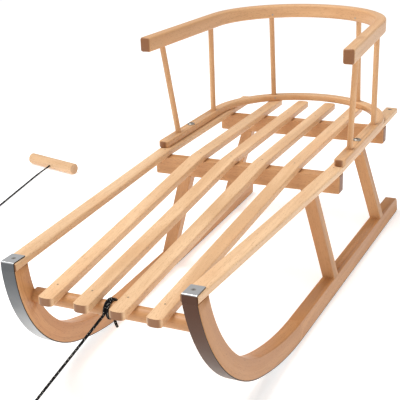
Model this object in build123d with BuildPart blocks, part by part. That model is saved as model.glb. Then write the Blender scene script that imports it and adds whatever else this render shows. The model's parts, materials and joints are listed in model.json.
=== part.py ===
"""A beech toboggan with a removable curved backrest and a pull rope.

Frame: +Y runs from the bent-up front to the rear, +Z is up, the floor is z = 0 and the
middle plane of the sled is x = 0.  All sizes are millimetres.  While it is drawn, y = 0
is the front end of the seat; every file is written with the origin under the middle.
"""

import os
from math import cos, pi, radians, sin, tan

from build123d import *

# ---------------------------------------------------------------- driving sizes
seat_length = 900.0  # outer slats, front face to rear end
seat_height = 224.0  # floor to the top of the seat
slat_w, slat_t = 23.5, 11.5
rear_half = 166.0  # middle plane to the outer slats' outer edge, at the rear end
bearer_half = rear_half + 1.0  # the same over the front bearer, and half a bearer's length
front_half = rear_half - 26.0  # the same at the front
front_bearer_y = 492.0  # front face of the front bearer
rear_bearer_y = seat_length - 115.0
bearer_d, bearer_h = 22.0, 30.0

runner_w, runner_t = 22.0, 29.0
runner_overhang = 15.0  # runner past the seat's rear end
toe_out = 0.019  # sideways run of a runner per length, wider at the rear
runner_foot = front_half + 15.0  # outer face on the floor, at the front
sweep_radius, sweep_turn = 570.0, 18.0  # gentle first bend of a runner
tip_tilt = 9.0  # a runner's tip from upright, degrees
heel_round = 10.0
shoe_w, shoe_t = 20.0, 1.5  # steel strip under each runner
shoe_cap = 25.0  # strip folded back over the slat's front end

inner_near, inner_far = 28.5, bearer_half - 81.5  # middle of the inner slats, at the rear
inner_near_front, inner_far_front = 26.5, front_half - 60.5  # the same over the crossbar
inner_shift = -6.0  # all four lie this far to one side over the crossbar
inner_front, inner_rear = 10.0, seat_length - 4.0
inner_round = 11.0
inner_edge_round = 2.0
dip = 44.0  # how far the inner slats drop to the crossbar
bar_r, bar_y = 10.5, 46.0
bar_seat = 1.0  # depth of the flats that the slats lie on
bar_tenon_r, bar_tenon = 7.0, 12.0

leg_w = leg_d = 22.0
leg_top_x = bearer_half - 45.0  # outer edge of a leg under its bearer
leg_tenon_r, leg_tenon = 5.5, 11.0

rail_radius = rear_half - 6.0  # middle of both rails, round the back
low_w, low_t, low_arm = 20.0, 12.0, 245.0  # an arm is a rail's straight side
top_w, top_t, top_arm = 19.0, 25.0, 250.0
low_centre_y = seat_length - 148.0  # middle of the bend
top_centre_y = low_centre_y - 12.0
low_tip_y, top_tip_y = low_centre_y - low_arm, top_centre_y - top_arm
top_z = seat_height + 173.0  # underside of the top rail
top_flare = 3.7  # degrees that the top rail's arms open
low_tip_round, low_edge_round = 9.5, 2.5
top_tip_round, top_edge_round = 4.5, 4.0
spindle_r = 5.0
spindle_in_low, spindle_in_top = 8.0, 12.0
front_low_y, front_top_y = low_centre_y - 180.0, low_centre_y - 204.0
middle_spindle_y = low_centre_y - 21.0
back_turn = 56.0  # degrees from square across to the back spindles
bolt_y, bolt_x = low_centre_y - 128.0, rail_radius - 1.5
bolt_r, bolt_head_r, bolt_head_t, bolt_tail = 3.0, 7.0, 2.8, 5.0
socket_flat, socket_deep = 4.0, 1.6
nut_flange_r, nut_flange_t, nut_barrel_r, nut_barrel = 7.5, 1.2, 4.0, 9.0

nail_head_r, nail_head_t, nail_r, nail_l = 1.4, 0.7, 0.8, 24.0
bar_nail_off = -1.5  # nails over the crossbar, beside the slat's middle line
end_screw_head_r, end_screw_head_t, end_screw_r, end_screw_l = 4.2, 2.0, 1.8, 10.0
end_screw_y = seat_length - 16.0
shoe_screw_head_r, shoe_screw_head_t, shoe_screw_r, shoe_screw_l = 3.4, 1.5, 1.8, 15.0
screw_slot_w, screw_slot = 0.9, 1.0
brad_r, brad_l, brad_head_r, brad_head_t = 0.8, 12.0, 1.6, 0.5

rope_d = 4.0
lash_x, lash_turns = -7.0, 3  # middle of the lashing on the crossbar, and its turns
end_knot_r = 4.5
handle_l, handle_r = 150.0, 13.0
handle_hole_r = 2.8
handle_chamfer = 1.2
scoop_r, scoop_deep = 22.0, 6.0
handle_x, handle_y, handle_turn = -672.0, 910.0, -15.0  # where the handle lies
mouth_run, end_tail = 45.0, 42.0  # rope before the handle's middle, and past it
tail_reach = (11.0, -6.0, -9.4)  # free end of the lashing, from the bar's underside

tenon_fit = 0.1  # radial room round every tenon and spindle
end_room = 0.5  # room past the end of every tenon
shank_fit = 0.05  # bolt in its threaded nut, radial
bolt_hole_fit = 0.35  # bolt in the wood, radial
edge_round = 3.0  # hand-sanded long edges
small_round = 1.2

os.makedirs("parts", exist_ok=True)
finished = []
middle_y = (low_centre_y + rail_radius + low_w / 2 - shoe_t) / 2  # half-way along


def keep(part, name):
    """Label a finished piece and write it with the frame's origin under its middle."""
    placed = part.moved(Location((0, -middle_y, 0)))
    placed.label = name
    export_step(placed, f"parts/{name}.step")
    finished.append(name)


# ---------------------------------------------------------------- shared places
slat_under = seat_height - slat_t
lean = (runner_foot - front_half) / slat_under  # a runner leans in towards the seat
tip_shift = lean * toe_out / (1 + toe_out**2) * slat_under  # puts the tips at y = 0


def leaning_plane(inset):
    """Plane of a right runner's outer face, moved `inset` towards the middle."""
    origin = (runner_foot - inset - toe_out * tip_shift, -tip_shift, 0)
    return Plane(origin=origin, x_dir=(toe_out, 1, 0), z_dir=(1, -toe_out, lean))


runner_plane = leaning_plane(0)
slant = 1 / runner_plane.y_dir.Z  # length along the leaning face for one of height
along = 1 / runner_plane.x_dir.Y  # length along the runner for one of y
sole = shoe_t * slant  # wood starts above the strip
runner_top = (sole + runner_t) / slant  # height of a runner's straight top
heel = (seat_length + runner_overhang) * along
bearer_under = slat_under - bearer_h
kink_y = front_bearer_y + bearer_d / 2
slope = dip / (front_bearer_y - bar_y)  # fall of the inner slats towards the front
nose = 15.0  # spare length at the tip, cut off level


def bent(lift):
    """Corner points of a runner curve `lift` above the sole's underside: heel to tip."""
    turn, top = radians(sweep_turn), radians(90 - tip_tilt)
    rise = slat_under * slant - sole - sweep_radius * (1 - cos(turn))
    curl = rise / (cos(turn) - cos(top))
    start = curl * (sin(top) - sin(turn)) + sweep_radius * sin(turn)
    sweep_centre = (start, sole + sweep_radius)
    curl_centre = (
        start - (sweep_radius - curl) * sin(turn),
        sole + sweep_radius - (sweep_radius - curl) * cos(turn),
    )
    with BuildLine(mode=Mode.PRIVATE) as line:
        floor = Line((heel, sole + lift), (start, sole + lift))
        sweep = CenterArc(sweep_centre, sweep_radius - lift, -90, -sweep_turn)
        rest = 90 - tip_tilt - sweep_turn
        curl_arc = CenterArc(curl_centre, curl - lift, -90 - sweep_turn, -rest)
        Line(curl_arc @ 1, curl_arc @ 1 + (curl_arc % 1) * nose)
    return floor, sweep, curl_arc, line.edges()


def curve_face(low, high):
    """Sketch between two runner curves, closed square at the heel and the nose."""
    with BuildSketch(mode=Mode.PRIVATE) as strip:
        with BuildLine():
            lower, upper = bent(low), bent(high)
            add(lower[3])
            add(upper[3])
            Line(lower[0] @ 0, upper[0] @ 0)
            Line(
                lower[2] @ 1 + (lower[2] % 1) * nose, upper[2] @ 1 + (upper[2] % 1) * nose
            )
        make_face()
    return strip.sketch


# ---------------------------------------------------------------- screws and their holes


nail = (nail_head_r, nail_head_t, nail_r, nail_l)
end_screw = (end_screw_head_r, end_screw_head_t, end_screw_r, end_screw_l)
shoe_screw = (shoe_screw_head_r, shoe_screw_head_t, shoe_screw_r, shoe_screw_l)


def screw(size, spot, outward, room=0.0, slotted=True):
    """A countersunk screw or nail, or its hole where `room` is the gap round its shank."""
    head_r, head_t, shank_r, length = size
    with BuildPart(mode=Mode.PRIVATE) as body:
        with BuildSketch(Plane(origin=spot, z_dir=outward)):
            Circle(head_r)
        with BuildSketch(Plane(origin=spot, z_dir=outward).offset(-head_t)):
            Circle(shank_r + room)
        loft()
        with BuildSketch(Plane(origin=spot, z_dir=outward).offset(-head_t)):
            Circle(shank_r + room)
        extrude(amount=head_t - length - room)
        if slotted and not room:
            with BuildSketch(Plane(origin=spot, z_dir=outward)):
                Rectangle(head_r * 1.3, screw_slot_w)
                Rectangle(screw_slot_w, head_r * 1.3)
            extrude(amount=-screw_slot, mode=Mode.SUBTRACT)
    return body.part


def inner_middle(number, y):
    """x of an inner slat's middle line at y: straight behind the front bearer's face."""
    at_bar, at_rear = inner_middles[number]
    spread = (at_rear - at_bar) / (front_bearer_y - bar_y)
    return at_rear + spread * min(y - front_bearer_y, 0)


def outer_middle(y):
    """x of the right outer slat's middle line at y."""
    if y < kink_y:
        edge = front_half + (bearer_half - front_half) * y / kink_y
    else:
        edge = bearer_half + (rear_half - bearer_half) * (y - kink_y) / (seat_length - kink_y)
    return edge - slat_w / 2


inner_middles = [
    (inner_shift - inner_far_front, -inner_far),
    (inner_shift - inner_near_front, -inner_near),
    (inner_shift + inner_near_front, inner_near),
    (inner_shift + inner_far_front, inner_far),
]
up, down = (0, 0, 1), (0, 0, -1)
nail_spots = []
for number in range(len(inner_middles)):
    bar_spot = (inner_middle(number, bar_y) + bar_nail_off, bar_y, seat_height - dip)
    nail_spots.append((bar_spot, (0, -slope, 1)))
    for bearer_y in (front_bearer_y, rear_bearer_y):
        y = bearer_y + bearer_d / 2 + 2
        nail_spots.append(((inner_middle(number, y), y, seat_height), up))
end_screw_spots, shoe_screw_spots = [], []
shoe_screw_ys = (395.0, 640.0, seat_length - 30.0)
cap_screw_y = shoe_cap / 2
for side in (-1, 1):
    for bearer_y in (front_bearer_y, rear_bearer_y):
        y = bearer_y + bearer_d / 2
        nail_spots.append(((side * (outer_middle(y) - 2), y, seat_height), up))
    end_x = outer_middle(end_screw_y)
    end_screw_spots.append(((side * end_x, end_screw_y, seat_height), up))
    for y in shoe_screw_ys:
        x = runner_foot + toe_out * y - runner_w / 2
        shoe_screw_spots.append(((side * x, y, 0), down))
    cap_x = runner_foot - lean * seat_height - runner_w / 2
    shoe_screw_spots.append(((side * cap_x, cap_screw_y, seat_height + shoe_t), up))


def screw_holes(size, spots):
    """The holes for a list of screws, as private solids."""
    return [screw(size, spot, outward, room=tenon_fit) for spot, outward in spots]


nail_holes = screw_holes(nail, nail_spots)
end_screw_holes = screw_holes(end_screw, end_screw_spots)
shoe_screw_holes = screw_holes(shoe_screw, shoe_screw_spots)

# ---------------------------------------------------------------- slats
with BuildPart() as right_outer_slat:
    with BuildSketch(Plane.XY.offset(slat_under)):
        with BuildLine():
            Polyline(
                (front_half, 0),
                (bearer_half, kink_y),
                (rear_half, seat_length),
                (rear_half - slat_w, seat_length),
                (bearer_half - slat_w, kink_y),
                (front_half - slat_w, 0),
                close=True,
            )
        make_face()
    extrude(amount=slat_t)
    long_edges = right_outer_slat.edges().filter_by(lambda e: e.length > seat_length / 3)
    fillet(long_edges, edge_round)
    fillet(
        right_outer_slat.edges().group_by(Axis.Y)[-1].filter_by(Axis.X), small_round
    )
    nut_bore = nut_barrel_r + tenon_fit
    with BuildSketch(Plane.XY.offset(slat_under)):
        with Locations((bolt_x, bolt_y)):
            Circle(nut_bore)
    extrude(amount=slat_t, mode=Mode.SUBTRACT)
    add(nail_holes + end_screw_holes + shoe_screw_holes, mode=Mode.SUBTRACT)
keep(right_outer_slat.part, "right_outer_slat")

with BuildPart() as left_outer_slat:
    mirror(right_outer_slat.part, about=Plane.YZ)
keep(left_outer_slat.part, "left_outer_slat")


def inner_slat(number):
    """One bent inner slat: level over the bearers, dipping to the front crossbar."""
    x_front, x_bend = inner_middle(number, inner_front), inner_middle(number, front_bearer_y)
    run = front_bearer_y - inner_front
    half = slat_w / 2 + inner_edge_round
    with BuildPart() as slat:
        with BuildSketch(Plane.XZ.offset(-front_bearer_y)):
            with Locations((x_bend, seat_height - slat_t / 2)):
                RectangleRounded(slat_w, slat_t, inner_edge_round)
        section = slat.pending_faces[0]
        extrude(amount=inner_rear - front_bearer_y, dir=(0, 1, 0))
        forward = Vector(x_front - x_bend, -run, -slope * run)
        extrude(section, amount=forward.length, dir=forward)
        with BuildSketch(Plane.XY):
            with BuildLine():
                Polyline(
                    (x_front - half, inner_front),
                    (x_bend - half, front_bearer_y),
                    (x_bend - half, inner_rear),
                    (x_bend + half, inner_rear),
                    (x_bend + half, front_bearer_y),
                    (x_front + half, inner_front),
                    close=True,
                )
            make_face()
            ends = vertices().group_by(Axis.Y)
            fillet(ends[0] + ends[-1], inner_round)
        extrude(amount=seat_height + slat_t, mode=Mode.INTERSECT)
    return slat.part


inner_slats = []
for number in range(len(inner_middles)):
    piece = inner_slat(number)
    inner_slats.append(piece)
    with BuildPart() as drilled_slat:
        add(piece)
        add(nail_holes, mode=Mode.SUBTRACT)
    keep(drilled_slat.part, f"inner_slat_{number + 1}")

# ---------------------------------------------------------------- front crossbar
bar_top = slat_under - dip + bar_seat  # the bar's top line before its flats are cut
bar_z = bar_top - bar_r


def inner_face(y, z):
    """x of a runner's inner face."""
    return runner_foot + toe_out * y - lean * z - runner_w


with BuildPart() as front_crossbar:
    reach = inner_face(bar_y, bar_z) + 5
    with BuildSketch(Plane.YZ.offset(-reach)):
        with Locations((bar_y, bar_z)):
            Circle(bar_r)
    extrude(amount=2 * reach)
    split(bisect_by=leaning_plane(runner_w), keep=Keep.BOTTOM)
    foot = (runner_w - runner_foot, 0, 0)
    left_wall = Plane(origin=foot, x_dir=(-toe_out, 1, 0), z_dir=(-1, -toe_out, lean))
    split(bisect_by=left_wall, keep=Keep.BOTTOM)
    tenon_reach = inner_face(bar_y, bar_z) + bar_tenon
    with BuildSketch(Plane.YZ.offset(-tenon_reach)):
        with Locations((bar_y, bar_z)):
            Circle(bar_tenon_r)
    extrude(amount=2 * tenon_reach)
    add(inner_slats + nail_holes, mode=Mode.SUBTRACT)
keep(front_crossbar.part, "front_crossbar")

# ---------------------------------------------------------------- legs and bearers


def leg_lines(bearer_y):
    """Outer edge of a leg at its foot and the leg's sideways run for one of height."""
    foot_x = runner_foot + toe_out * (bearer_y + leg_d / 2) - lean * runner_top
    return foot_x, (foot_x - leg_top_x) / (bearer_under - runner_top)


def leg_axis(bearer_y, z):
    """Point on a right leg's middle line at height z."""
    foot_x, splay = leg_lines(bearer_y)
    x = foot_x - splay * (z - runner_top) - leg_w / 2
    return Vector(x, bearer_y + leg_d / 2, z)


def tenon_rod(bearer_y, radius, room):
    """Slanting rod through a leg and both of its tenons (a private solid)."""
    bottom = leg_axis(bearer_y, runner_top - leg_tenon - room)
    top = leg_axis(bearer_y, bearer_under + leg_tenon + room)
    with BuildPart(mode=Mode.PRIVATE) as rod:
        with BuildSketch(Plane(origin=bottom, x_dir=(0, 1, 0), z_dir=top - bottom)):
            Circle(radius)
        extrude(amount=(top - bottom).length)
    return rod.part


def leg(bearer_y):
    """A right leg: a square bar that splays out to the runner, with round tenons."""
    foot_x, _ = leg_lines(bearer_y)
    with BuildPart() as bar:
        with BuildSketch(Plane.XZ.offset(-bearer_y)):
            with BuildLine():
                Polyline(
                    (foot_x, runner_top),
                    (leg_top_x, bearer_under),
                    (leg_top_x - leg_w, bearer_under),
                    (foot_x - leg_w, runner_top),
                    close=True,
                )
            make_face()
        extrude(amount=-leg_d)
        upright = bar.edges().filter_by(lambda e: e.length > bearer_h * 2)
        fillet(upright, small_round * 1.5)
        add(tenon_rod(bearer_y, leg_tenon_r, 0))
    return bar.part


for name, bearer_y in (("front", front_bearer_y), ("rear", rear_bearer_y)):
    right_leg = leg(bearer_y)
    keep(right_leg, f"{name}_right_leg")
    with BuildPart() as left_leg:
        mirror(leg(bearer_y), about=Plane.YZ)
    keep(left_leg.part, f"{name}_left_leg")
    with BuildPart() as bearer:
        with BuildSketch(Plane.XY.offset(bearer_under)):
            with Locations((0, bearer_y + bearer_d / 2)):
                Rectangle(2 * bearer_half, bearer_d)
        extrude(amount=bearer_h)
        fillet(bearer.edges().group_by(Axis.Z)[0].filter_by(Axis.X), small_round)
        fillet(bearer.edges().filter_by(Axis.Z), edge_round)
        rod = tenon_rod(bearer_y, leg_tenon_r + tenon_fit, end_room)
        add(rod, mode=Mode.SUBTRACT)
        mirror(rod, about=Plane.YZ, mode=Mode.SUBTRACT)
        add(nail_holes, mode=Mode.SUBTRACT)
    keep(bearer.part, f"{name}_bearer")

# ---------------------------------------------------------------- runners and their shoes
sideways = (-1, 0, 0)


def heel_edges(part):
    """A runner's crosswise edges at its rear end, lowest first."""
    across = part.edges().filter_by(Axis.X)
    return across.filter_by(lambda e: e.center().Y > seat_length).sort_by(Axis.Z)


with BuildPart() as right_runner:
    with BuildSketch(runner_plane):
        add(curve_face(0, runner_t))
    extrude(amount=runner_w, dir=sideways)
    fillet(heel_edges(right_runner)[-1], heel_round)
    fillet(heel_edges(right_runner)[0], small_round)
    fillet(right_runner.edges().filter_by(Axis.X, reverse=True), small_round)
    split(bisect_by=Plane.XY.offset(slat_under), keep=Keep.BOTTOM)
    with BuildSketch(Plane.YZ.offset(inner_face(bar_y, bar_z) - 1)):
        with Locations((bar_y, bar_z)):
            Circle(bar_tenon_r + tenon_fit)
    extrude(amount=bar_tenon + end_room + 1, mode=Mode.SUBTRACT)
    for bearer_y in (front_bearer_y, rear_bearer_y):
        add(tenon_rod(bearer_y, leg_tenon_r + tenon_fit, end_room), mode=Mode.SUBTRACT)
    add(shoe_screw_holes, mode=Mode.SUBTRACT)
keep(right_runner.part, "right_runner")

with BuildPart() as left_runner:
    mirror(right_runner.part, about=Plane.YZ)
keep(left_runner.part, "left_runner")

shoe_inset = (runner_w - shoe_w) / 2
with BuildPart() as right_runner_shoe:
    with BuildSketch(leaning_plane(shoe_inset)):
        add(curve_face(-sole, 0))
    extrude(amount=shoe_w, dir=sideways)
    split(bisect_by=Plane.XY.offset(slat_under), keep=Keep.BOTTOM)
    heel_end = heel_edges(right_runner_shoe)[0].center().Y
    split(bisect_by=Plane.XZ.offset(small_round + 4 - heel_end), keep=Keep.TOP)
    with BuildSketch(Plane.YZ.offset(runner_foot - lean * slat_under - shoe_inset)):
        with BuildLine():
            Polyline(
                (0, slat_under),
                (0, seat_height),
                (shoe_cap, seat_height),
                (shoe_cap, seat_height + shoe_t),
                (-sole, seat_height + shoe_t),
                (-sole, slat_under),
                close=True,
            )
        make_face()
    extrude(amount=-shoe_w)
    across = right_runner_shoe.edges().filter_by(Axis.X).group_by(Axis.Z)[-1]
    fillet(across.sort_by(Axis.Y)[0], shoe_t)
    add(shoe_screw_holes, mode=Mode.SUBTRACT)
keep(right_runner_shoe.part, "right_runner_shoe")

with BuildPart() as left_runner_shoe:
    mirror(right_runner_shoe.part, about=Plane.YZ)
keep(left_runner_shoe.part, "left_runner_shoe")

with BuildPart() as slat_nails:
    for spot, outward in nail_spots:
        add(screw(nail, spot, outward, slotted=False))
keep(slat_nails.part, "slat_nails")

with BuildPart() as slat_screws:
    for spot, outward in end_screw_spots:
        add(screw(end_screw, spot, outward))
keep(slat_screws.part, "slat_screws")

with BuildPart() as shoe_screws:
    for spot, outward in shoe_screw_spots:
        add(screw(shoe_screw, spot, outward))
keep(shoe_screws.part, "shoe_screws")

# ---------------------------------------------------------------- backrest
low_top = seat_height + low_t



def top_arm_x(y):
    """x of the top rail's middle line on its right arm."""
    flare = radians(top_flare)
    return rail_radius / cos(flare) + (top_centre_y - y) * tan(flare)


def back_spot(side, centre_y, z):
    """Point on a rail's bend where a back spindle stands."""
    turn = radians(back_turn)
    return side * rail_radius * cos(turn), centre_y + rail_radius * sin(turn), z


spindle_spots = []  # middle line on the lower rail's top and on the top rail's underside
for side in (-1, 1):
    for low_y, top_y in ((front_low_y, front_top_y), (middle_spindle_y, middle_spindle_y)):
        top_spot = (side * top_arm_x(top_y), top_y, top_z)
        spindle_spots.append(((side * rail_radius, low_y, low_top), top_spot))
    low_spot = back_spot(side, low_centre_y, low_top)
    spindle_spots.append((low_spot, back_spot(side, top_centre_y, top_z)))


def spindle(ends, radius, room):
    """A round rod that runs into both rails."""
    low, high = Vector(ends[0]), Vector(ends[1])
    upward = (high - low).normalized()
    foot = low - upward * (spindle_in_low + room)
    height = (high - low).length + spindle_in_low + spindle_in_top + 2 * room
    with BuildPart(mode=Mode.PRIVATE) as rod:
        with BuildSketch(Plane(origin=foot, x_dir=(0, 1, 0), z_dir=upward)):
            Circle(radius)
        extrude(amount=height)
    return rod.part


def brad(ends, at_top, room):
    """A small nail from a rail's inner face into a back spindle, or its hole."""
    low, high = Vector(ends[0]), Vector(ends[1])
    upward = (high - low).normalized()
    centre_y = top_centre_y if at_top else low_centre_y
    middle = high + upward * spindle_in_top * 0.6 if at_top else low - upward * low_t * 0.45
    outward = Vector(middle.X, middle.Y - centre_y, 0).normalized()
    reach = rail_radius - (top_w if at_top else low_w) / 2
    face = Vector(0, centre_y, middle.Z) + outward * reach
    with BuildPart(mode=Mode.PRIVATE) as nail_body:
        with BuildSketch(Plane(origin=face, z_dir=outward)):
            Circle(brad_r + room)
        extrude(amount=brad_l + room)
        if not room:
            with BuildSketch(Plane(origin=face, z_dir=outward)):
                Circle(brad_head_r)
            extrude(amount=-brad_head_t)
    return nail_body.part


spindle_holes = [spindle(ends, spindle_r + tenon_fit, end_room) for ends in spindle_spots]
brad_spots = [(ends, at_top) for ends in spindle_spots[2::3] for at_top in (False, True)]
brad_holes = [brad(ends, at_top, shank_fit) for ends, at_top in brad_spots]


def bent_rail(width, thick, base, centre_y, tip_y, flare, tip_round, rounding):
    """A U-shaped rail bent round the back, lying level with its underside at `base`."""
    turn = radians(flare)
    with BuildPart() as rail:
        with BuildSketch(Plane.XY.offset(base)):
            with BuildLine():
                ends = []
                for radius in (rail_radius - width / 2, rail_radius + width / 2):
                    CenterArc((0, centre_y), radius, flare, 180 - 2 * flare)
                    for side in (-1, 1):
                        start = (side * radius * cos(turn), centre_y + radius * sin(turn))
                        run = (start[1] - tip_y) / cos(turn)
                        tip = (start[0] + side * run * sin(turn), tip_y)
                        Line(start, tip)
                        ends.append(tip)
                Line(ends[0], ends[2])
                Line(ends[1], ends[3])
            make_face()
        extrude(amount=thick)
        fillet(rail.edges().filter_by(Axis.Z).group_by(Axis.Y)[0], tip_round)
        level = rail.faces().filter_by(Axis.Z)
        fillet(level.edges(), rounding)
        add(spindle_holes + brad_holes, mode=Mode.SUBTRACT)
        if base < top_z:
            with BuildSketch(Plane.XY.offset(base)):
                with Locations((bolt_x, bolt_y), (-bolt_x, bolt_y)):
                    Circle(bolt_r + bolt_hole_fit)
            extrude(amount=thick, mode=Mode.SUBTRACT)
    return rail.part


lower_rail = bent_rail(
    low_w, low_t, seat_height, low_centre_y, low_tip_y, 0, low_tip_round, low_edge_round
)
keep(lower_rail, "backrest_lower_rail")
top_rail = bent_rail(
    top_w, top_t, top_z, top_centre_y, top_tip_y, top_flare, top_tip_round, top_edge_round
)
keep(top_rail, "backrest_top_rail")

spindle_names = []
for side in ("left", "right"):
    for place in ("front", "middle", "back"):
        spindle_names.append(f"{side}_{place}_spindle")
for name, ends in zip(spindle_names, spindle_spots):
    with BuildPart() as rod:
        add(spindle(ends, spindle_r, 0))
        add(brad_holes, mode=Mode.SUBTRACT)
    keep(rod.part, name)

with BuildPart() as spindle_brads:
    for ends, at_top in brad_spots:
        add(brad(ends, at_top, 0))
keep(spindle_brads.part, "spindle_brads")

# ---------------------------------------------------------------- bolts and T-nuts
for side, place in ((-1, "left"), (1, "right")):
    with BuildPart() as bolt:
        with BuildSketch(Plane.XY.offset(low_top)):
            with Locations((side * bolt_x, bolt_y)):
                Circle(bolt_head_r)
        extrude(amount=bolt_head_t)
        fillet(bolt.edges().group_by(Axis.Z)[-1], bolt_head_t * 0.8)
        with BuildSketch(Plane.XY.offset(low_top + bolt_head_t)):
            with Locations((side * bolt_x, bolt_y)):
                RegularPolygon(socket_flat / 2, 6, major_radius=False)
        extrude(amount=-socket_deep, mode=Mode.SUBTRACT)
        with BuildSketch(Plane.XY.offset(low_top)):
            with Locations((side * bolt_x, bolt_y)):
                Circle(bolt_r)
        extrude(amount=slat_under - bolt_tail - low_top)
        chamfer(bolt.edges().group_by(Axis.Z)[0], 0.6)
    keep(bolt.part, f"{place}_backrest_bolt")
    with BuildPart() as nut:
        with BuildSketch(Plane.XY.offset(slat_under - nut_flange_t)):
            with Locations((side * bolt_x, bolt_y)):
                Circle(nut_flange_r)
        extrude(amount=nut_flange_t)
        with BuildSketch(Plane.XY.offset(slat_under)):
            with Locations((side * bolt_x, bolt_y)):
                Circle(nut_barrel_r)
        extrude(amount=nut_barrel)
        with BuildSketch(Plane.XY.offset(slat_under - nut_flange_t)):
            with Locations((side * bolt_x, bolt_y)):
                Circle(bolt_r + shank_fit)
        extrude(amount=nut_flange_t + nut_barrel, mode=Mode.SUBTRACT)
    keep(nut.part, f"{place}_t_nut")

# ---------------------------------------------------------------- lashing, rope and handle
rope_r = rope_d / 2
ring = bar_r + 2 * shank_fit + rope_r
lash_left = lash_x - rope_d * (lash_turns - 1) / 2
leaving = radians(15)  # below level, in front of the bar
rope_start = (lash_left, bar_y - ring * cos(leaving), bar_z - ring * sin(leaving))

with BuildPart() as rope_lashing:
    middle = Plane(origin=(lash_x, bar_y, bar_z), x_dir=(1, 0, 0), z_dir=(0, -1, 0))
    with BuildSketch(middle):
        with GridLocations(rope_d, 0, lash_turns, 1):
            with Locations((0, ring)):
                Circle(rope_r)
        with Locations((0, ring - rope_r / 2 + 0.5)):
            Rectangle(rope_d * (lash_turns - 1), rope_r)
    revolve(axis=Axis((lash_x, bar_y, bar_z), (1, 0, 0)))
    tail_top = Vector(lash_x, bar_y, bar_z - ring)
    with BuildSketch(Plane(origin=tail_top, z_dir=tail_reach)):
        Circle(rope_r)
    extrude(amount=Vector(*tail_reach).length)
    with BuildSketch(Plane.YZ.offset(lash_x - 2 * rope_d)):
        with Locations((bar_y, bar_z)):
            Circle(bar_r + shank_fit)
    extrude(amount=5 * rope_d, mode=Mode.SUBTRACT)
keep(rope_lashing.part, "rope_lashing")

# The handle lies on the floor; the rope passes through it and is knotted in its scoop.
turn = radians(handle_turn)
away = Vector(-sin(turn), cos(turn), 0)  # level direction through the handle
handle_along = Vector(cos(turn), sin(turn), 0)
handle_middle = Vector(handle_x, handle_y, handle_r)
approach = handle_middle - away * mouth_run
approach.Z = rope_r
through = (handle_middle - approach).normalized()
knot = handle_middle + through * (handle_r - scoop_deep + end_knot_r + end_room * 2)

with BuildPart() as pull_handle:
    end_middle = handle_middle - handle_along * handle_l / 2
    with BuildSketch(Plane(origin=end_middle, z_dir=handle_along)):
        Circle(handle_r)
    extrude(amount=handle_l)
    chamfer(pull_handle.edges(), handle_chamfer)
    scoop_middle = handle_middle + through * (handle_r - scoop_deep + scoop_r)
    with BuildSketch(Plane(origin=scoop_middle, z_dir=handle_along.cross(through))):
        Circle(scoop_r)
    extrude(amount=2 * handle_r, both=True, mode=Mode.SUBTRACT)
    with BuildSketch(Plane(origin=handle_middle, z_dir=through)):
        Circle(handle_hole_r)
    extrude(amount=2 * handle_r, both=True, mode=Mode.SUBTRACT)
keep(pull_handle.part, "pull_handle")

rope_points = [
    rope_start,
    (-118, -39, rope_r),
    (-173, -54, rope_r),
    (-226, -37, rope_r),
    (-267, 2, rope_r),
    (-306, 43, rope_r),
    (-338, 89, rope_r),
    (-362, 140, rope_r),
    (-383, 192, rope_r),
    (-405, 244, rope_r),
    (-434, 292, rope_r),
    (-473, 333, rope_r),
    (-517, 368, rope_r),
    (-549, 414, rope_r),
    (-583, 458, rope_r),
    (-611, 507, rope_r),
    (-625, 562, rope_r),
    (-635, 617, rope_r),
    tuple(approach),
    tuple(knot - through * (end_knot_r - end_room * 2)),
]


def corner_radii(points, share=0.45):
    """A tangent arc's radius at every inner point of a route."""
    radii = []
    for before, here, after in zip(points, points[1:], points[2:]):
        arriving, leaving = Vector(here) - Vector(before), Vector(after) - Vector(here)
        half_turn = radians(arriving.get_angle(leaving) / 2)
        radii.append(share * min(arriving.length, leaving.length) / tan(half_turn))
    return radii


with BuildPart() as pull_rope:
    radii = corner_radii(rope_points)
    with BuildLine() as route:
        FilletPolyline(*rope_points, radius=radii)
    with BuildSketch(Plane(origin=rope_points[0], z_dir=route.line % 0)):
        Circle(rope_r)
    sweep()
keep(pull_rope.part, "pull_rope")
print("rope corner radii", [round(r) for r in radii])
rope_length = sum(edge.length for edge in route.edges())
print("rope length", round(rope_length), "volume", round(pull_rope.part.volume))
print("section times length", round(pi * rope_r**2 * rope_length))

with BuildPart() as rope_end_knot:
    with Locations(knot):
        Sphere(end_knot_r)
    tail = Vector(handle_x, handle_y, rope_r) + away * end_tail
    with BuildSketch(Plane(origin=knot, z_dir=tail - knot)):
        Circle(rope_r)
    extrude(amount=(tail - knot).length)
keep(rope_end_knot.part, "rope_end_knot")

print(len(finished), "nodes written")
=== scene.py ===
"""The looks of a beech toboggan with a curved backrest and a pull rope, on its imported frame."""

from __future__ import annotations

import json
import logging
import math
from dataclasses import dataclass, field
from enum import Enum

import bpy
import numpy as np
from mathutils import Matrix, Vector

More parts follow.
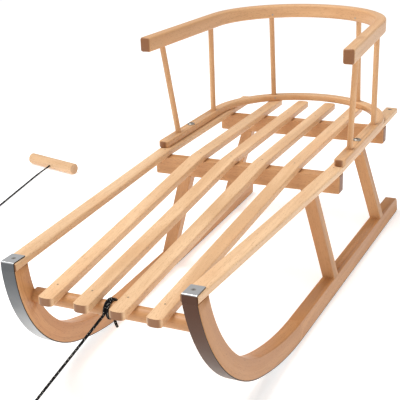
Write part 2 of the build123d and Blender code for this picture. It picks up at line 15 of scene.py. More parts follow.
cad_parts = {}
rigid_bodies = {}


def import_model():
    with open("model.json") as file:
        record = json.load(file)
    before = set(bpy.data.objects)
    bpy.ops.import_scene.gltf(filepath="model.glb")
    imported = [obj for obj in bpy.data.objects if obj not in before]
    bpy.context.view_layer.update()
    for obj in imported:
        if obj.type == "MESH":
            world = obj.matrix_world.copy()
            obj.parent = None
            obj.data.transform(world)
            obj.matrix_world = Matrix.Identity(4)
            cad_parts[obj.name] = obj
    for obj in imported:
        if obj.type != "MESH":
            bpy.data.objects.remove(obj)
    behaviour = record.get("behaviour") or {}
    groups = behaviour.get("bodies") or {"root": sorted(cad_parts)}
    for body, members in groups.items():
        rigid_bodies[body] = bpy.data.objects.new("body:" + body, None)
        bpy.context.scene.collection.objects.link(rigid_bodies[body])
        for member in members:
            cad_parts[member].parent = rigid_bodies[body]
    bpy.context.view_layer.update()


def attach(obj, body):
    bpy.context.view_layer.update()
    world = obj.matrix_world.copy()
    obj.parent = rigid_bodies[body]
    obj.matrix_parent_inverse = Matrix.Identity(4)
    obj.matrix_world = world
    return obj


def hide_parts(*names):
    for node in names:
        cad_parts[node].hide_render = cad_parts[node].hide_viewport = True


LOG = logging.getLogger("toboggan")
MID_Y = 0.46025  # the seat's front end lies this far in front of the frame's origin
WELD = 0.00001  # vertices nearer than this become one
WOOD_CREASE, ROPE_CREASE = 28, 50  # edges sharper than this stay crisp, in degrees
WHITE = (1.0, 1.0, 1.0, 1.0)

Colour = tuple[float, float, float]
Point = tuple[float, float, float]
Span = tuple[float, float]


def seat_point(x: float, y: float, z: float) -> Vector:
    """Turn a place measured in millimetres from the seat's front end into the frame's metres.

    Args:
        x: Distance to the right of the middle plane.
        y: Distance behind the seat's front end.
        z: Height over the floor.

    Returns:
        The same place in the frame, in metres.
    """
    return Vector((x / 1000, y / 1000 - MID_Y, z / 1000))


class Grain(Enum):
    """The direction that a board's fibres run in."""

    ACROSS = "X"
    ALONG = "Y"
    UPRIGHT = "Z"
    BENT = "bend"


class NodeSheet:
    """A material's node tree, with short ways to add and join nodes."""

    def __init__(self, name: str) -> None:
        """Start an empty material of that name with its surface shader.

        Args:
            name: The material's name.
        """
        self.material = bpy.data.materials.new(name)
        self.material.use_nodes = True
        self.tree = self.material.node_tree
        self.shader = self.tree.nodes["Principled BSDF"]

    def add(self, kind: str, **settings: object) -> bpy.types.Node:
        """Add a node and set its properties and unlinked inputs.

        Args:
            kind: The node's type without its ShaderNode prefix.
            **settings: Properties by name, or inputs by name with an `in_` prefix.

        Returns:
            The new node.
        """
        node = self.tree.nodes.new("ShaderNode" + kind)
        for name, value in settings.items():
            if name.startswith("in_"):
                node.inputs[name[3:].replace("_", " ")].default_value = value
            else:
                setattr(node, name, value)
        return node

    def join(self, source: bpy.types.NodeSocket, target: bpy.types.NodeSocket) -> None:
        """Link one socket to another."""
        self.tree.links.new(source, target)

    def math(self, operation: str, *values: object) -> bpy.types.NodeSocket:
        """Do a sum with numbers or sockets.

        Args:
            operation: The Math node's operation.
            *values: One to three sockets or numbers.

        Returns:
            The result's socket.
        """
        node = self.add("Math", operation=operation)
        for place, value in enumerate(values):
            if isinstance(value, bpy.types.NodeSocket):
                self.join(value, node.inputs[place])
            else:
                node.inputs[place].default_value = value
        return node.outputs[0]

    def noise(
        self, coords: bpy.types.NodeSocket, scale: Point, **settings: object
    ) -> bpy.types.NodeSocket:
        """Add stretched noise on a set of coordinates.

        Args:
            coords: The coordinates' socket.
            scale: Cells per metre along each of them.
            **settings: Inputs of the Noise Texture node.

        Returns:
            The noise's value, from 0 to 1.
        """
        stretch = self.add("Mapping", in_Scale=scale)
        self.join(coords, stretch.inputs["Vector"])
        node = self.add("TexNoise", **settings)
        node.inputs["Scale"].default_value = 1.0
        self.join(stretch.outputs[0], node.inputs["Vector"])
        return node.outputs[0]

    def ramp(self, value: bpy.types.NodeSocket, low: float, high: float) -> bpy.types.NodeSocket:
        """Turn a value between two limits smoothly into 0 to 1.

        Args:
            value: The value's socket.
            low: Where the result is 0.
            high: Where the result is 1.

        Returns:
            The result's socket.
        """
        node = self.add("MapRange", interpolation_type="SMOOTHSTEP")
        node.inputs["From Min"].default_value = low
        node.inputs["From Max"].default_value = high
        self.join(value, node.inputs["Value"])
        return node.outputs[0]

    def blend(self, share: object, first: object, second: object) -> bpy.types.NodeSocket:
        """Mix two colours.

        Args:
            share: How much of the second, as a number or a socket.
            first: A colour or a socket.
            second: A colour or a socket.

        Returns:
            The mixed colour's socket.
        """
        node = self.add("Mix", data_type="RGBA")
        for key, value in ((0, share), (6, first), (7, second)):
            if isinstance(value, bpy.types.NodeSocket):
                self.join(value, node.inputs[key])
            elif key:
                node.inputs[key].default_value = (*value, 1.0)
            else:
                node.inputs[key].default_value = value
        return node.outputs[2]

    def bump(self, height: bpy.types.NodeSocket, strength: float, depth: float) -> None:
        """Give the surface relief.

        Args:
            height: The relief's height, from 0 to 1.
            strength: How strong it is.
            depth: How deep it is, in metres.
        """
        node = self.add("Bump", in_Strength=strength, in_Distance=depth)
        self.join(height, node.inputs["Height"])
        self.join(node.outputs[0], self.shader.inputs["Normal"])

    def set_shader(self, **values: object) -> None:
        """Set inputs of the surface shader; an underscore in a name stands for a space."""
        for name, value in values.items():
            self.shader.inputs[name.replace("_", " ")].default_value = value


@dataclass(frozen=True)
class Beech:
    """Lacquered beech: pale, with fine pores, short dark flecks and darker ends.

    The pattern is solid, so it runs on from a board's top into its sides.
    """

    tone: Colour = (0.74, 0.49, 0.285)
    grain: Grain = Grain.ALONG
    shift: Point = (0.0, 0.0, 0.0)
    tilt: float = 0.0
    turn: float = 0.0
    length: float = 0.0
    knots: float = 0.5
    ends: float = 0.95
    # factors on the tone
    light: Colour = (1.10, 1.12, 1.15)
    dark: Colour = (0.86, 0.79, 0.72)
    warm: Colour = (0.98, 0.84, 0.72)
    fleck: Colour = (0.60, 0.48, 0.40)
    sawn: Colour = (0.34, 0.22, 0.15)
    # cells per metre along and across the fibres
    ring_cells: Point = (1.6, 26.0, 34.0)
    streak_cells: Point = (9.0, 330.0, 330.0)
    fleck_cells: Point = (150.0, 1300.0, 900.0)
    blotch_cells: Point = (7.0, 14.0, 14.0)
    knot_cells: Point = (7.0, 16.0, 16.0)
    # where an end's darkening starts and is full, in metres and as a share of the normal
    end_reach: Span = (0.0035, 0.0005)
    end_facing: Span = (0.72, 0.95)
    roughness: float = 0.36
    streak_roughness: float = 0.16

    def shade(self, factors: Colour) -> Colour:
        """Give the board's tone times three factors, up to full."""
        return tuple(min(1.0, c * k) for c, k in zip(self.tone, factors))

    def coordinates(self, sheet: NodeSheet) -> bpy.types.NodeSocket:
        """Give coordinates whose first number runs along the fibres.

        Args:
            sheet: The material being built.

        Returns:
            The coordinates' socket, in metres.
        """
        place = sheet.add("Mapping", in_Location=self.shift)
        if self.grain is Grain.BENT:
            along = sheet.add("Attribute", attribute_name="fibres")
            sheet.join(along.outputs["Vector"], place.inputs["Vector"])
            return place.outputs[0]
        source = sheet.add("TexCoord")
        turned = sheet.add("Mapping", in_Rotation=(0.0, self.tilt, self.turn))
        parts, order = sheet.add("SeparateXYZ"), sheet.add("CombineXYZ")
        sheet.join(source.outputs["Object"], turned.inputs["Vector"])
        sheet.join(turned.outputs[0], parts.inputs[0])
        picks = {Grain.ACROSS: (0, 1, 2), Grain.ALONG: (1, 0, 2), Grain.UPRIGHT: (2, 0, 1)}
        for slot, pick in enumerate(picks[self.grain]):
            sheet.join(parts.outputs[pick], order.inputs[slot])
        sheet.join(order.outputs[0], place.inputs["Vector"])
        return place.outputs[0]

    def end_grain(self, sheet: NodeSheet) -> bpy.types.NodeSocket:
        """Give 1 on a board's sawn ends and 0 on its sides.

        Args:
            sheet: The material being built.

        Returns:
            The mask's socket.
        """
        if self.grain is Grain.BENT:
            along = sheet.add("Attribute", attribute_name="fibres")
            parts = sheet.add("SeparateXYZ")
            sheet.join(along.outputs["Vector"], parts.inputs[0])
            gone = parts.outputs[0]
            from_end = sheet.math("MINIMUM", gone, sheet.math("SUBTRACT", self.length, gone))
            return sheet.ramp(from_end, *self.end_reach)
        source = sheet.add("TexCoord")
        turned = sheet.add("Mapping", in_Rotation=(0.0, self.tilt, self.turn))
        turned.vector_type = "NORMAL"
        parts = sheet.add("SeparateXYZ")
        sheet.join(source.outputs["Normal"], turned.inputs["Vector"])
        sheet.join(turned.outputs[0], parts.inputs[0])
        pick = {Grain.ACROSS: 0, Grain.ALONG: 1, Grain.UPRIGHT: 2}[self.grain]
        return sheet.ramp(sheet.math("ABSOLUTE", parts.outputs[pick]), *self.end_facing)

    def material(self, name: str) -> bpy.types.Material:
        """Build the finish.

        Args:
            name: The material's name.

        Returns:
            The material.
        """
        sheet = NodeSheet(name)
        coords = self.coordinates(sheet)
        rings = sheet.noise(coords, self.ring_cells, in_Detail=4.0, in_Distortion=0.7)
        streaks = sheet.noise(coords, self.streak_cells, in_Detail=3.0, in_Roughness=0.65)
        flecks = sheet.noise(coords, self.fleck_cells, in_Detail=1.0)
        blotches = sheet.noise(coords, self.blotch_cells, in_Detail=2.0)
        dark, fleck = self.shade(self.dark), self.shade(self.fleck)
        colour = sheet.blend(sheet.ramp(rings, 0.33, 0.70), self.shade(self.light), dark)
        colour = sheet.blend(sheet.ramp(streaks, 0.46, 0.80), colour, dark)
        warmth = sheet.math("MULTIPLY", sheet.ramp(blotches, 0.50, 0.80), 0.45)
        colour = sheet.blend(warmth, colour, self.shade(self.warm))
        dashes = sheet.math("MULTIPLY", sheet.ramp(flecks, 0.60, 0.70), 0.55)
        colour = sheet.blend(dashes, colour, fleck)
        if self.knots:
            colour = self.add_knots(sheet, coords, colour, fleck)
        ends = sheet.math("MULTIPLY", self.end_grain(sheet), self.ends)
        colour = sheet.blend(ends, colour, self.shade(self.sawn))
        sheet.join(colour, sheet.shader.inputs["Base Color"])
        rough = sheet.math("MULTIPLY_ADD", streaks, self.streak_roughness, self.roughness)
        sheet.join(rough, sheet.shader.inputs["Roughness"])
        sheet.set_shader(Specular_IOR_Level=0.35, Coat_Weight=0.10, Coat_Roughness=0.30)
        sheet.bump(sheet.math("SUBTRACT", streaks, dashes), 0.35, 0.00025)
        return sheet.material

    def add_knots(
        self,
        sheet: NodeSheet,
        coords: bpy.types.NodeSocket,
        colour: bpy.types.NodeSocket,
        fleck: Colour,
    ) -> bpy.types.NodeSocket:
        """Add a few small pin knots.

        Args:
            sheet: The material being built.
            coords: Coordinates along the fibres.
            colour: The colour so far.
            fleck: The knots' colour.

        Returns:
            The colour with its knots.
        """
        stretch = sheet.add("Mapping", in_Scale=self.knot_cells)
        cells = sheet.add("TexVoronoi", in_Scale=1.0)
        sheet.join(coords, stretch.inputs["Vector"])
        sheet.join(stretch.outputs[0], cells.inputs["Vector"])
        near = sheet.ramp(cells.outputs["Distance"], 0.16, 0.03)
        return sheet.blend(sheet.math("MULTIPLY", near, self.knots), colour, fleck)


@dataclass(frozen=True)
class Metal:
    """A metal finish: zinc strip with its spangle, stains, a painted reflection on its front face
    and painted shade on its cut edges, or a bright plated screw.
    """

    colour: Colour = (0.72, 0.73, 0.74)
    roughness: float = 0.32
    stains: float = 0.25
    # colours of the painted reflection on a strip's front face, at the top and at the bottom, and
    # of the painted shade on its cut edges
    reflection_top: Colour | None = None
    reflection_bottom: Colour = (0.5, 0.5, 0.5)
    edge_shade: Colour = (0.035, 0.022, 0.015)
    dulling: float = 0.62
    spangle_cells: Point = (160.0, 160.0, 160.0)
    cloud_cells: Point = (18.0, 18.0, 18.0)
    scratch_cells: Point = (900.0, 25.0, 25.0)
    # heights in metres, then shares of the normal, between which each mask of the painted
    # reflection and the painted edge shade goes from 0 to 1
    reflection_rise: Span = (0.03, 0.215)
    under_bend: Span = (0.2250, 0.2235)
    facing_front: Span = (-0.10, -0.40)
    facing_aside: Span = (0.55, 0.85)

    def material(self, name: str) -> bpy.types.Material:
        """Build the finish.

        Args:
            name: The material's name.

        Returns:
            The material.
        """
        sheet = NodeSheet(name)
        source = sheet.add("TexCoord")
        coords = source.outputs["Object"]
        spangle = sheet.noise(coords, self.spangle_cells, in_Detail=3.0)
        cloud = sheet.noise(coords, self.cloud_cells, in_Detail=4.0, in_Roughness=0.6)
        scratch = sheet.noise(coords, self.scratch_cells, in_Detail=2.0)
        dull = tuple(c * self.dulling for c in self.colour)
        stained = sheet.math("MULTIPLY", sheet.ramp(cloud, 0.40, 0.75), self.stains)
        colour = sheet.blend(stained, self.colour, dull)
        colour = sheet.blend(sheet.math("MULTIPLY", spangle, 0.25), colour, dull)
        # strips only: a painted reflection on the front face and painted shade on the cut edges
        if self.reflection_top:
            colour = self.paint_reflection_and_edge_shade(sheet, source, cloud, colour)
        sheet.join(colour, sheet.shader.inputs["Base Color"])
        sheet.set_shader(Metallic=1.0)
        rough = sheet.math("MULTIPLY_ADD", cloud, 0.28, self.roughness - 0.1)
        sheet.join(rough, sheet.shader.inputs["Roughness"])
        sheet.bump(sheet.math("ADD", scratch, spangle), 0.12, 0.0002)
        return sheet.material

    def paint_reflection_and_edge_shade(
        self,
        sheet: NodeSheet,
        source: bpy.types.Node,
        cloud: bpy.types.NodeSocket,
        colour: bpy.types.NodeSocket,
    ) -> bpy.types.NodeSocket:
        """Paint a reflection on a strip's front face below its top bend, changing with height, and
        paint shade on its cut edges.

        Args:
            sheet: The material being built.
            source: The Texture Coordinate node.
            cloud: Soft noise that makes the painted reflection uneven.
            colour: The colour so far.

        Returns:
            The tarnished colour.
        """
        facing, place = sheet.add("SeparateXYZ"), sheet.add("SeparateXYZ")
        sheet.join(source.outputs["Normal"], facing.inputs[0])
        sheet.join(source.outputs["Object"], place.inputs[0])
        uneven = sheet.math("MULTIPLY", sheet.math("SUBTRACT", cloud, 0.5), 0.05)
        height = sheet.ramp(sheet.math("ADD", place.outputs[2], uneven), *self.reflection_rise)
        front = sheet.blend(height, self.reflection_bottom, self.reflection_top)
        below_bend = sheet.ramp(place.outputs[2], *self.under_bend)
        faces_front = sheet.ramp(facing.outputs[1], *self.facing_front)
        colour = sheet.blend(sheet.math("MULTIPLY", below_bend, faces_front), colour, front)
        sides = sheet.ramp(sheet.math("ABSOLUTE", facing.outputs[0]), *self.facing_aside)
        # painted shade on the strip's cut edges, where it meets the wood
        return sheet.blend(sides, colour, self.edge_shade)


@dataclass(frozen=True)
class Braid:
    """A braided cover: two sets of plaited strands, mostly black with some pale ones."""

    black: Colour = (0.004, 0.004, 0.005)
    pale: Colour = (0.60, 0.58, 0.52)
    strands: int = 8
    pitch: float = 0.016
    pale_share: float = 0.13

    def material(self, name: str) -> bpy.types.Material:
        """Build the finish; it reads the tube's own UV map, turns across and metres along.

        Args:
            name: The material's name.

        Returns:
            The material.
        """
        sheet = NodeSheet(name)
        laid = sheet.add("UVMap", uv_map="lay")
        parts = sheet.add("SeparateXYZ")
        sheet.join(laid.outputs[0], parts.inputs[0])
        around = sheet.math("MULTIPLY", parts.outputs[0], float(self.strands))
        along = sheet.math("MULTIPLY", parts.outputs[1], self.strands / self.pitch)
        right = sheet.math("ADD", around, along)
        left = sheet.math("SUBTRACT", along, around)
        cell = sheet.add("CombineXYZ")
        sheet.join(sheet.math("FLOOR", right), cell.inputs[0])
        sheet.join(sheet.math("FLOOR", left), cell.inputs[1])
        chance = sheet.add("TexWhiteNoise", noise_dimensions="3D")
        sheet.join(cell.outputs[0], chance.inputs["Vector"])
        crown_r = sheet.math("PINGPONG", sheet.math("FRACT", right), 0.5)
        crown_l = sheet.math("PINGPONG", sheet.math("FRACT", left), 0.5)
        crown = sheet.math("MULTIPLY", sheet.math("MULTIPLY", crown_r, crown_l), 4.0)
        body = sheet.ramp(crown, 0.10, 0.45)
        is_pale = sheet.math("LESS_THAN", chance.outputs["Value"], self.pale_share)
        colour = sheet.blend(sheet.math("MULTIPLY", is_pale, body), self.black, self.pale)
        sheet.join(colour, sheet.shader.inputs["Base Color"])
        sheet.set_shader(Roughness=0.75, Specular_IOR_Level=0.15)
        sheet.bump(crown, 0.8, 0.0006)
        return sheet.material


def dress(piece: bpy.types.Object, material: bpy.types.Material) -> None:
    """Give a piece one finish all over.

    Args:
        piece: The piece or CAD node.
        material: The finish.
    """
    if piece.data.materials:
        piece.material_slots[0].material = material
    else:
        piece.data.materials.append(material)


def dress_node(node: str, finish: Beech | Metal, name: str) -> None:
    """Give a CAD node a finish, as a material of that name."""
    dress(bpy.data.objects[node], finish.material(name))


def select_only(piece: bpy.types.Object) -> None:
    """Select only this piece and make it the active one."""
    bpy.ops.object.select_all(action="DESELECT")
    piece.select_set(True)
    bpy.context.view_layer.objects.active = piece


@dataclass
class Bend:
    """A line along the middle of a bent piece, from one end to the other."""

    points: np.ndarray
    past_end: float = 1.0  # how far the first and the last stretch run on, in metres

    @property
    def length(self) -> float:
        """The line's length in metres."""
        return float(np.linalg.norm(np.diff(self.points, axis=0), axis=1).sum())

    def fibres(self, places: np.ndarray) -> np.ndarray:
        """Give each place its distance along the line, its offset sideways and its height.

        Args:
            places: The places, one a row, in metres.

        Returns:
            The three numbers of each place, one a row.
        """
        start, run = self.points[:-1], np.diff(self.points, axis=0)
        size = np.linalg.norm(run, axis=1)
        before = np.concatenate([[0.0], np.cumsum(size)[:-1]])
        unit = run / size[:, None]
        best = np.full(len(places), np.inf)
        laid = np.zeros((len(places), 3))
        last = len(start) - 1
        for i in range(len(start)):
            offset = places - start[i]
            t = offset @ unit[i]
            low = -self.past_end if i == 0 else 0.0
            high = size[i] + self.past_end if i == last else size[i]
            t = np.clip(t, low, high)
            rest = offset - t[:, None] * unit[i]
            far = np.linalg.norm(rest, axis=1)
            closer = far < best
            best = np.where(closer, far, best)
            side = np.cross(unit[i], self.up_of(unit[i]))
            laid[closer, 0] = before[i] + t[closer]
            laid[closer, 1] = rest[closer] @ side
            laid[closer, 2] = rest[closer] @ np.cross(side, unit[i])
        return laid

    @staticmethod
    def up_of(direction: np.ndarray) -> np.ndarray:
        """The direction that counts as sideways for a line: the one nearest to X or Z."""
        flat = abs(direction[2]) < 0.02 and abs(direction[0]) + abs(direction[1]) > 0.9
        return np.array((0.0, 0.0, 1.0)) if flat else np.array((1.0, 0.0, 0.0))

    def copy_node(self, node: str, body: str, slot: str) -> bpy.types.Object:
        """Copy a CAD node's shape and lay fibres along the bend on it.

        Args:
            node: The CAD node, which the copy replaces.
            body: The body that the copy moves with.
            slot: The record's material slot; not used.

        Returns:
            The copy.
        """
        source = bpy.data.objects[node]
        piece = source.copy()
        piece.data = source.data.copy()
        for key in list(piece.keys()):
            del piece[key]
        piece.name = node + "_grained"
        bpy.context.collection.objects.link(piece)
        select_only(piece)
        bpy.ops.object.mode_set(mode="EDIT")
        bpy.ops.mesh.select_all(action="SELECT")
        bpy.ops.mesh.remove_doubles(threshold=WELD)
        bpy.ops.object.mode_set(mode="OBJECT")
        bpy.ops.object.shade_smooth_by_angle(angle=math.radians(WOOD_CREASE))
        places = np.array([v.co for v in piece.data.vertices], float)
        laid = piece.data.attributes.new("fibres", "FLOAT_VECTOR", "POINT")
        laid.data.foreach_set("vector", self.fibres(places).astype(np.float32).ravel())
        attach(piece, body)
        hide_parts(node)
        return piece


@dataclass
class Studio:
    """The camera, the pale floor and the soft lights."""

    focal_mm: float = 82.2
    place: Point = (0.5506, -1.32515, 0.7045)
    yaw: float = 25.05
    pitch: float = 20.61
    roll: float = -1.87
    sensor_mm: float = 36.0
    floor_side: float = 60.0
    floor_z: float = -0.0003  # just clear of the runners' soles
    floor_grey: float = 0.90
    floor_glow: float = 0.42
    light_side: float = 2.0
    aim: Point = (0.0, 0.0, 0.1)
    room_light: float = 0.50

    def add_camera(self) -> None:
        """Set the camera up."""
        yaw, pitch, roll = (math.radians(a) for a in (self.yaw, self.pitch, self.roll))
        level_part = math.cos(pitch)
        back = Vector((math.sin(yaw) * level_part, -math.cos(yaw) * level_part, math.sin(pitch)))
        right = Vector((math.cos(yaw), math.sin(yaw), 0.0))
        up = back.cross(right)
        level, upright = right.copy(), up.copy()
        right = level * math.cos(roll) + upright * math.sin(roll)
        up = upright * math.cos(roll) - level * math.sin(roll)
        data = bpy.data.cameras.new("camera")
        data.lens, data.sensor_width = self.focal_mm, self.sensor_mm
        camera = bpy.data.objects.new("camera", data)
        turned = Matrix((right, up, back)).transposed().to_4x4()
        camera.matrix_world = Matrix.Translation(self.place) @ turned
        bpy.context.collection.objects.link(camera)
        bpy.context.scene.camera = camera

    def add_floor(self) -> None:
        """Lay the pale floor just under the runners."""
        bpy.ops.object.select_all(action="DESELECT")
        bpy.ops.mesh.primitive_plane_add(size=self.floor_side, location=(0.0, 0.0, self.floor_z))
        floor = bpy.context.object
        floor.name = "floor"
        sheet = NodeSheet("floor_white")
        sheet.set_shader(
            Base_Color=(*(self.floor_grey,) * 3, 1.0),
            Emission_Color=WHITE,
            Emission_Strength=self.floor_glow,
            Roughness=0.9,
            Specular_IOR_Level=0.0,
        )
        dress(floor, sheet.material)

    def add_light(self, name: str, place: Point, power: float) -> None:
        """Add a square soft light that points at the sled.

        Args:
            name: The light's name.
            place: Where it hangs, in metres.
            power: Its power in watts.
        """
        data = bpy.data.lights.new(name, "AREA")
        data.size, data.energy = self.light_side, power
        light = bpy.data.objects.new(name, data)
        light.location = place
        ray = Vector(self.aim) - Vector(place)
        light.rotation_euler = ray.to_track_quat("-Z", "Y").to_euler()
        bpy.context.collection.objects.link(light)

    def build(self) -> None:
        """Set up the whole studio."""
        self.add_camera()
        self.add_floor()
        self.add_light("key", (-0.9, -0.6, 3.4), 100.0)
        self.add_light("fill", (2.6, -2.2, 1.3), 14.0)
        world = bpy.data.worlds.new("room")
        world.use_nodes = True
        backdrop = world.node_tree.nodes["Background"]
        backdrop.inputs["Color"].default_value = WHITE
        backdrop.inputs["Strength"].default_value = self.room_light
        bpy.context.scene.world = world
        bpy.context.scene.view_settings.view_transform = "Standard"


FLOOR_RUN = (  # where the rope lies, to the right and behind the seat's front end, in millimetres
    (-118, -39), (-173, -54), (-226, -37), (-267, 2), (-306, 43), (-338, 89), (-362, 140),
    (-383, 192), (-405, 244), (-434, 292), (-473, 333), (-517, 368), (-549, 414), (-583, 458),
    (-611, 507), (-625, 562), (-635, 617), (-646, 672), (-674, 817),
)


@dataclass
class PullRope:
    """The braided rope: its lashing on the crossbar, its run, its handle and its knots."""

    diameter: float = 0.004
    finish: Braid = field(default_factory=Braid)
    around: int = 16
    step: float = 0.0011
    bar_radius: float = 10.5
    bar_y: float = 46.0
    bar_z: float = 159.0
    lash_x: float = -7.0
    lash_turns: int = 3
    leaving: float = 15.0
    tail_reach: Point = (11.0, -6.0, -9.4)
    handle_at: Point = (-672.0, 910.0, 13.0)
    handle_turn: float = -15.0
    mouth_run: float = 45.0
    handle_reach: float = 9.0
    knot_reach: float = 12.5
    end_tail: float = 42.0
    length: float = 1.40
    first_drop: Point = (-24, 25, 137)
    touchdown: Point = (-88, -18, 45.5)
    lash_room: float = 0.1
    lash_steps: int = 14
    end_taper: float = 0.80
    rib_high: float = 0.025
    rib_turns: int = 4
    rib_run: float = 1200.0
    knot_steps: int = 24
    knot_half: float = 0.0042
    knot_lean: float = 1.2

    @property
    def radius_mm(self) -> float:
        """Half the rope's thickness, in millimetres."""
        return self.diameter * 500

    @property
    def away(self) -> Vector:
        """The level direction through the handle."""
        turn = math.radians(self.handle_turn)
        return Vector((-math.sin(turn), math.cos(turn), 0.0))

    @property
    def through(self) -> Vector:
        """The direction of the rope inside the handle's hole."""
        rise = self.handle_at[2] - self.radius_mm
        return (self.away * self.mouth_run + Vector((0.0, 0.0, rise))).normalized()

    @property
    def ring(self) -> float:
        """The radius of the lashing's middle line, in millimetres."""
        return self.bar_radius + self.radius_mm + self.lash_room

    @property
    def start(self) -> Point:
        """Where the rope leaves the lashing, in front of the crossbar and a little low."""
        angle = math.radians(self.leaving)
        left = self.lash_x - self.radius_mm * (self.lash_turns - 1)
        y, z = self.ring * math.cos(angle), self.ring * math.sin(angle)
        return (left, self.bar_y - y, self.bar_z - z)

    def route(self) -> list[Vector]:
        """The points that the rope's line follows, from the lashing to the handle.

        Returns:
            The points in the frame, in metres.
        """
        on_floor = self.radius_mm
        approach = Vector(self.handle_at) - self.away * self.mouth_run
        laid = [
            self.start,
            self.first_drop,
            self.touchdown,
            *((x, y, on_floor) for x, y in FLOOR_RUN),
            (approach.x, approach.y, on_floor),
            tuple(Vector(self.handle_at) + self.through * self.handle_reach),
        ]
        return [seat_point(*p) for p in laid]

    def line_through(self, name: str, points: list[Vector]) -> list[Vector]:
        """Read evenly spaced points off a smooth line.

        Args:
            name: The line's name.
            points: The line's control points.

        Returns:
            Points along the line, one every step.
        """
        data = bpy.data.curves.new(name, "CURVE")
        data.dimensions, data.resolution_u = "3D", 24
        spline = data.splines.new("NURBS")
        spline.points.add(len(points) - 1)
        for control, point in zip(spline.points, points):
            control.co = (*point, 1.0)
        spline.order_u = 3
        spline.use_endpoint_u = True
        guide = bpy.data.objects.new(name, data)
        bpy.context.collection.objects.link(guide)
        bpy.context.view_layer.update()
        mesh = bpy.data.meshes.new_from_object(guide)
        read = np.array([v.co for v in mesh.vertices], float)
        bpy.data.objects.remove(guide)
        bpy.data.meshes.remove(mesh)
        size = np.concatenate([[0.0], np.cumsum(np.linalg.norm(np.diff(read, axis=0), axis=1))])
        count = max(4, round(size[-1] / self.step))
        places = np.linspace(0.0, size[-1], count + 1)
        even = np.stack([np.interp(places, size, read[:, k]) for k in range(3)], 1)
        return [Vector(p) for p in even]

    def tube(self, name: str, line: list[Vector]) -> bpy.types.Object:
        """Skin a line with the braided cover, closed at both ends.

        Args:
            name: The piece's name.
            line: Points along its middle.

        Returns:
            The tube.
        """
        radius, around = self.diameter / 2, self.around
        upright = abs((line[1] - line[0]).normalized().z) >= 0.9
        side = Vector((1, 0, 0)) if upright else Vector((0, 0, 1))
        places, run, gone = [], [], 0.0
        for i, point in enumerate(line):
            ahead = (line[min(i + 1, len(line) - 1)] - line[max(i - 1, 0)]).normalized()
            side = (side - ahead * side.dot(ahead)).normalized()
            other = ahead.cross(side)
            gone += (point - line[i - 1]).length if i else 0.0
            run.append(gone)
            at_end = min(i, len(line) - 1 - i) == 0
            width = radius * (self.end_taper if at_end else 1.0)
            laid_on = gone * self.rib_run
            for k in range(around):
                angle = 2 * math.pi * k / around
                lobe = angle * self.rib_turns
                rib = self.rib_high * math.cos(lobe + laid_on) * math.cos(lobe - laid_on)
                out = side * math.cos(angle) + other * math.sin(angle)
                places.append(point + out * width * (1.0 + rib - self.rib_high))
        faces = []
        for i in range(len(line) - 1):
            for k in range(around):
                n = (k + 1) % around
                here, there = i * around, (i + 1) * around
                faces.append((here + k, here + n, there + n, there + k))
        faces.append(tuple(reversed(range(around))))
        faces.append(tuple((len(line) - 1) * around + k for k in range(around)))
        mesh = bpy.data.meshes.new(name)
        mesh.from_pydata(places, [], faces)
        laid = mesh.uv_layers.new(name="lay")
        for face in mesh.polygons:
            for corner in face.loop_indices:
                vertex = mesh.loops[corner].vertex_index
                row, column = divmod(vertex, around)
                last_column = len(face.vertices) == 4 and face.index % around == around - 1
                wraps = last_column and column == 0
                laid.data[corner].uv = (1.0 if wraps else column / around, run[row])
        mesh.validate()
        piece = bpy.data.objects.new(name, mesh)
        bpy.context.collection.objects.link(piece)
        select_only(piece)
        bpy.ops.object.shade_smooth_by_angle(angle=math.radians(ROPE_CREASE))
        return piece

    def knot_line(self, middle: Vector) -> list[Vector]:
        """Points of a tight overhand knot.

        Args:
            middle: Its middle.

        Returns:
            Its control points.
        """
        turned, points = Matrix.Rotation(self.knot_lean, 3, "Z"), []
        for i in range(self.knot_steps + 1):
            t = 2 * math.pi * i / self.knot_steps + 0.35
            x = math.sin(t) + 2 * math.sin(2 * t)
            y = math.cos(t) - 2 * math.cos(2 * t)
            flat = Vector((x, y, -1.6 * math.sin(3 * t)))
            points.append(middle + turned @ flat * (self.knot_half / 3))
        return points

    def lashing_line(self) -> list[Vector]:
        """Points of the turns round the crossbar, from the free tail to where the rope leaves.

        Returns:
            The control points.
        """
        first = self.lash_x + self.radius_mm * (self.lash_turns - 1)
        last = self.start[0]
        sweep = math.radians(180 + self.leaving + 90) + 2 * math.pi * (self.lash_turns - 2)
        steps = self.lash_steps * self.lash_turns
        radius = self.ring + self.lash_room
        under = Vector((self.lash_x, self.bar_y, self.bar_z - self.ring))
        tail = under + Vector(self.tail_reach)
        points = [seat_point(*tail), seat_point(*under.lerp(tail, 0.6))]
        for i in range(steps + 1):
            angle = -math.pi / 2 + sweep * i / steps
            x = first + (last - first) * i / steps
            y, z = radius * math.cos(angle), radius * math.sin(angle)
            points.append(seat_point(x, self.bar_y + y, self.bar_z + z))
        points.append(seat_point(*self.start).lerp(seat_point(*self.first_drop), 0.15))
        return points

    def join_pieces(self, name: str, parts: list[bpy.types.Object]) -> bpy.types.Object:
        """Join several tubes into one piece.

        Args:
            name: The piece's name.
            parts: The tubes.

        Returns:
            The piece.
        """
        bpy.ops.object.select_all(action="DESELECT")
        for part in parts:
            part.select_set(True)
        bpy.context.view_layer.objects.active = parts[0]
        bpy.ops.object.join()
        parts[0].name = name
        return parts[0]

